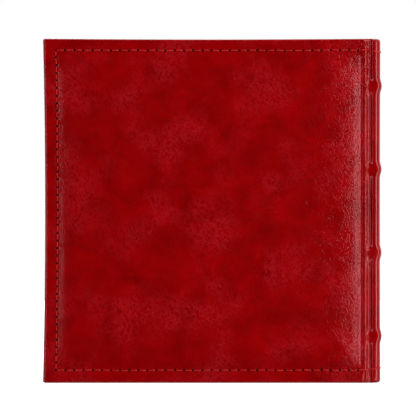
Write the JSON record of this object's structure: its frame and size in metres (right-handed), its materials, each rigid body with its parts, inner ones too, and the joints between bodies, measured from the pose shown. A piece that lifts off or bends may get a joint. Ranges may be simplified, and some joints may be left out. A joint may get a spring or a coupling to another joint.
{
  "type": "stamp album",
  "caption": "Closed square stock book for stamps with padded leatherette covers, a perimeter seam, a raised-band spine and hinged card leaves.",
  "frame": {"origin": "middle of the footprint, on the surface the album stands on", "axes": "+X from the fore edge to the spine, +Y from the back cover to the front cover, +Z from the tail up to the head"},
  "size_m": [0.222, 0.04, 0.225],
  "materials": {
    "leatherette": "satin",
    "thread": "satin",
    "greyboard": "matte",
    "foam": "matte",
    "endpaper": "matte",
    "linen": "matte",
    "black_card": "matte",
    "clear_film": "gloss",
    "glassine": "satin",
    "headband_cloth": "satin"
  },
  "bodies": {
    "album_spine": {"spine_leather": "leatherette", "spine_board": "greyboard", "raised_bands": "greyboard", "spine_stitching": "thread", "spine_lining": "linen", "guards": "black_card", "headband_top": "headband_cloth", "headband_bottom": "headband_cloth", "front_joint_leather": "leatherette", "back_joint_leather": "leatherette", "front_endpaper_fold": "endpaper", "back_endpaper_fold": "endpaper", "front_leaf_hinges": "linen", "back_leaf_hinges": "linen"},
    "front_cover": {"front_board": "greyboard", "front_padding": "foam", "front_leather": "leatherette", "front_stitching": "thread", "front_pastedown": "endpaper"},
    "back_cover": {"back_board": "greyboard", "back_padding": "foam", "back_leather": "leatherette", "back_stitching": "thread", "back_pastedown": "endpaper"},
    "front_flyleaf": {"front_flyleaf": "endpaper"},
    "back_flyleaf": {"back_flyleaf": "endpaper"},
    "leaf_01": {"leaf_01": "black_card", "strips_01": "clear_film", "interleaf_01": "glassine"},
    "leaf_02": {"leaf_02": "black_card", "strips_02": "clear_film", "interleaf_02": "glassine"},
    "leaf_03": {"leaf_03": "black_card", "strips_03": "clear_film", "interleaf_03": "glassine"},
    "leaf_04": {"leaf_04": "black_card", "strips_04": "clear_film", "interleaf_04": "glassine"},
    "leaf_05": {"leaf_05": "black_card", "strips_05": "clear_film", "interleaf_05": "glassine"},
    "leaf_06": {"leaf_06": "black_card", "strips_06": "clear_film"},
    "leaf_07": {"leaf_07": "black_card", "strips_07": "clear_film", "interleaf_06": "glassine"},
    "leaf_08": {"leaf_08": "black_card", "strips_08": "clear_film", "interleaf_07": "glassine"},
    "leaf_09": {"leaf_09": "black_card", "strips_09": "clear_film", "interleaf_08": "glassine"},
    "leaf_10": {"leaf_10": "black_card", "strips_10": "clear_film", "interleaf_09": "glassine"}
  },
  "joints": [
    {"name": "front_cover_hinge", "type": "hinge", "parent": "album_spine", "child": "front_cover", "pos_m": [0.1027, 0.0166, 0.1125], "axis": [0, 0, -1], "range_deg": [0, 165], "deforming": ["front_joint_leather", "front_endpaper_fold", "front_leaf_hinges"]},
    {"name": "front_flyleaf_hinge", "type": "hinge", "parent": "album_spine", "child": "front_flyleaf", "pos_m": [0.0953, 0.012, 0.1125], "axis": [0, 0, -1], "range_deg": [0, 89.3]},
    {"name": "back_cover_hinge", "type": "hinge", "parent": "album_spine", "child": "back_cover", "pos_m": [0.1027, -0.0166, 0.1125], "axis": [0, 0, 1], "range_deg": [0, 165], "deforming": ["back_joint_leather", "back_endpaper_fold", "back_leaf_hinges"]},
    {"name": "back_flyleaf_hinge", "type": "hinge", "parent": "album_spine", "child": "back_flyleaf", "pos_m": [0.0953, -0.012, 0.1125], "axis": [0, 0, 1], "range_deg": [0, 89.3]},
    {"name": "leaf_01_hinge", "type": "hinge", "parent": "album_spine", "child": "leaf_01", "pos_m": [0.0953, 0.01035, 0.1125], "axis": [0, 0, -1], "range_deg": [0, 70.3]},
    {"name": "leaf_02_hinge", "type": "hinge", "parent": "album_spine", "child": "leaf_02", "pos_m": [0.0953, 0.00805, 0.1125], "axis": [0, 0, -1], "range_deg": [0, 62]},
    {"name": "leaf_03_hinge", "type": "hinge", "parent": "album_spine", "child": "leaf_03", "pos_m": [0.0953, 0.00575, 0.1125], "axis": [0, 0, -1], "range_deg": [0, 53.8]},
    {"name": "leaf_04_hinge", "type": "hinge", "parent": "album_spine", "child": "leaf_04", "pos_m": [0.0953, 0.00345, 0.1125], "axis": [0, 0, -1], "range_deg": [0, 43.1]},
    {"name": "leaf_05_hinge", "type": "hinge", "parent": "album_spine", "child": "leaf_05", "pos_m": [0.0953, 0.00115, 0.1125], "axis": [0, 0, -1], "range_deg": [0, 32.4]},
    {"name": "leaf_06_hinge", "type": "hinge", "parent": "album_spine", "child": "leaf_06", "pos_m": [0.0953, -0.00115, 0.1125], "axis": [0, 0, 1], "range_deg": [0, 32.4]},
    {"name": "leaf_07_hinge", "type": "hinge", "parent": "album_spine", "child": "leaf_07", "pos_m": [0.0953, -0.00345, 0.1125], "axis": [0, 0, 1], "range_deg": [0, 43.1]},
    {"name": "leaf_08_hinge", "type": "hinge", "parent": "album_spine", "child": "leaf_08", "pos_m": [0.0953, -0.00575, 0.1125], "axis": [0, 0, 1], "range_deg": [0, 53.8]},
    {"name": "leaf_09_hinge", "type": "hinge", "parent": "album_spine", "child": "leaf_09", "pos_m": [0.0953, -0.00805, 0.1125], "axis": [0, 0, 1], "range_deg": [0, 62]},
    {"name": "leaf_10_hinge", "type": "hinge", "parent": "album_spine", "child": "leaf_10", "pos_m": [0.0953, -0.01035, 0.1125], "axis": [0, 0, 1], "range_deg": [0, 70.3]}
  ],
  "couplings": [
    {"joint": "front_flyleaf_hinge", "follows": "front_cover_hinge", "ratio": 0.535},
    {"joint": "back_flyleaf_hinge", "follows": "back_cover_hinge", "ratio": 0.535},
    {"joint": "leaf_01_hinge", "follows": "front_cover_hinge", "ratio": 0.42},
    {"joint": "leaf_02_hinge", "follows": "front_cover_hinge", "ratio": 0.37},
    {"joint": "leaf_03_hinge", "follows": "front_cover_hinge", "ratio": 0.32},
    {"joint": "leaf_04_hinge", "follows": "front_cover_hinge", "ratio": 0.255},
    {"joint": "leaf_05_hinge", "follows": "front_cover_hinge", "ratio": 0.19},
    {"joint": "leaf_06_hinge", "follows": "back_cover_hinge", "ratio": 0.19},
    {"joint": "leaf_07_hinge", "follows": "back_cover_hinge", "ratio": 0.255},
    {"joint": "leaf_08_hinge", "follows": "back_cover_hinge", "ratio": 0.32},
    {"joint": "leaf_09_hinge", "follows": "back_cover_hinge", "ratio": 0.37},
    {"joint": "leaf_10_hinge", "follows": "back_cover_hinge", "ratio": 0.42}
  ]
}
